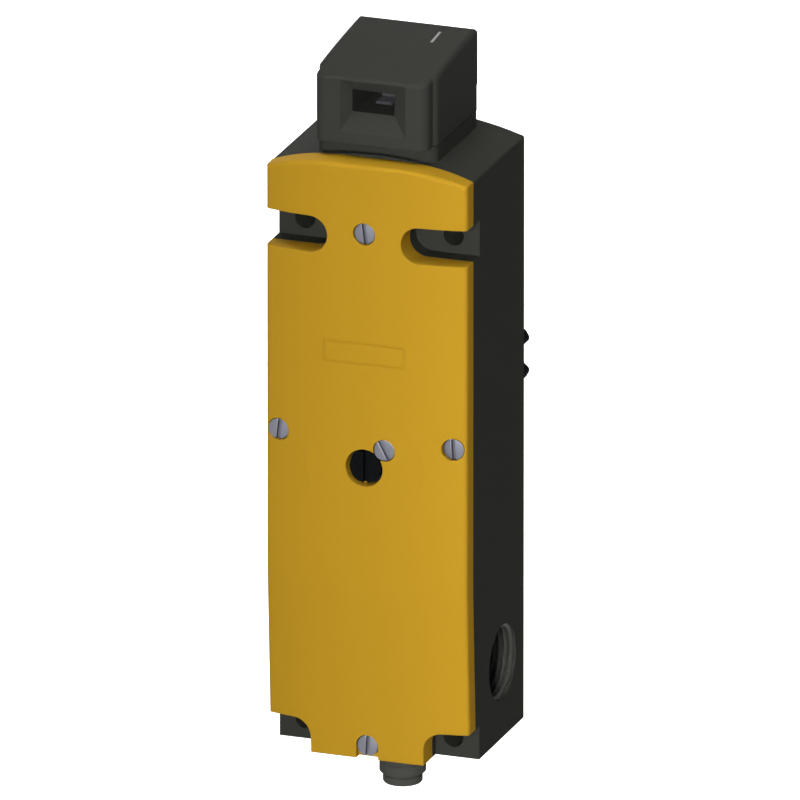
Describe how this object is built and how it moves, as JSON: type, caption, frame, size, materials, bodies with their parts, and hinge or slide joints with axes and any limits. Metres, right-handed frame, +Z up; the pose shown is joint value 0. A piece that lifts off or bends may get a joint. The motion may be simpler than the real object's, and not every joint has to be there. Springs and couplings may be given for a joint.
{
  "type": "safety interlock switch",
  "caption": "Guard-locking safety interlock switch: upright housing with an arched yellow cover, a turning key head, a rear escape knob and a round connector below.",
  "frame": {"origin": "centre of the four mounting holes, on the rear mounting face", "axes": "+X to the right seen from the front, +Y out of the rear mounting face, +Z up along the housing; the front faces -Y"},
  "size_m": [0.054, 0.097, 0.2008],
  "materials": {
    "housing_plastic": "moulded glass-filled polyamide, dark grey",
    "head_plastic": "moulded glass-filled polyamide, dark grey",
    "cover_plastic": "moulded polyamide, ochre yellow",
    "seal_rubber": "nitrile rubber",
    "screw_steel": "zinc-plated steel",
    "pressed_steel": "zinc-plated sheet steel",
    "turned_steel": "turned stainless steel",
    "cam_metal": "sintered steel, dark",
    "natural_plastic": "moulded acetal, natural white",
    "contact_plastic": "moulded phenolic, brown",
    "copper_wire": "enamelled copper wire",
    "contact_brass": "brass, pressed",
    "spring_steel": "drawn spring wire",
    "black_plastic": "moulded polyamide, black",
    "connector_metal": "dark moulded connector shell",
    "terminal_plastic": "moulded polyamide, green"
  },
  "bodies": {
    "switch_body": {"armature_spring": "spring_steel", "button_seal": "seal_rubber", "chassis_screws": "screw_steel", "coil_bobbin": "natural_plastic", "coil_winding": "copper_wire", "connector_body": "connector_metal", "connector_insert": "black_plastic", "connector_pins": "contact_brass", "connector_washer": "seal_rubber", "contact_block_left": "contact_plastic", "contact_block_right": "contact_plastic", "cover": "cover_plastic", "cover_gasket": "seal_rubber", "cover_screws": "screw_steel", "fixed_contacts": "contact_brass", "head_clip": "pressed_steel", "housing": "housing_plastic", "mechanism_chassis": "natural_plastic", "release_seal_screw": "screw_steel", "rod_spring": "spring_steel", "shaft_bush": "contact_brass", "shaft_seal": "seal_rubber", "solenoid_core": "turned_steel", "solenoid_frame": "pressed_steel", "solenoid_screws": "screw_steel", "terminal_block": "terminal_plastic", "terminal_screws": "screw_steel"},
    "head": {"head_body": "head_plastic", "head_carrier": "head_plastic", "cam_axle": "turned_steel"},
    "cam": {"cam_wheel": "cam_metal"},
    "plunger": {"head_plunger": "turned_steel"},
    "transmission": {"transmission_rod": "turned_steel", "contact_pusher": "natural_plastic", "lock_collar": "turned_steel", "contact_carriers": "natural_plastic", "contact_bridges": "contact_brass"},
    "release": {"release_shaft": "black_plastic", "release_cam": "turned_steel", "release_sleeve": "turned_steel", "cross_pin": "turned_steel", "release_knob": "black_plastic", "knob_screw": "screw_steel"},
    "armature_body": {"armature": "turned_steel", "armature_nut": "screw_steel", "lock_link": "pressed_steel"},
    "slide_body": {"lock_slide": "pressed_steel"}
  },
  "joints": [
    {"name": "head_turn", "type": "hinge", "parent": "switch_body", "child": "head", "pos_m": [0, -0.02015, 0.09725], "axis": [0, 0, 1], "range_deg": [-180, 180]},
    {"name": "cam_turn", "type": "hinge", "parent": "head", "child": "cam", "pos_m": [0, -0.02015, 0.09925], "axis": [-1, 0, 0], "range_deg": [0, 60]},
    {"name": "plunger_slide", "type": "slide", "parent": "head", "child": "plunger", "axis": [0, 0, 1], "range_m": [0, 0.0046]},
    {"name": "rod_slide", "type": "slide", "parent": "switch_body", "child": "transmission", "axis": [0, 0, 1], "range_m": [0, 0.0046], "deforming": ["rod_spring"]},
    {"name": "release_turn", "type": "hinge", "parent": "switch_body", "child": "release", "pos_m": [0, -0.02015, 0.00645], "axis": [0, 1, 0], "range_deg": [0, 90]},
    {"name": "armature_slide", "type": "slide", "parent": "switch_body", "child": "armature_body", "axis": [0, 0, -1], "range_m": [0, 0.0045], "deforming": ["armature_spring"]},
    {"name": "lock_slide_joint", "type": "slide", "parent": "switch_body", "child": "slide_body", "axis": [0, -1, 0], "range_m": [0, 0.0045]}
  ],
  "couplings": [
    {"joint": "plunger_slide", "follows": "cam_turn", "m_per_rad": 0.0043927},
    {"joint": "rod_slide", "follows": "cam_turn", "m_per_rad": 0.0043927},
    {"joint": "release_turn", "follows": "armature_slide", "rad_per_m": 349.07},
    {"joint": "lock_slide_joint", "follows": "armature_slide", "ratio": 1}
  ]
}
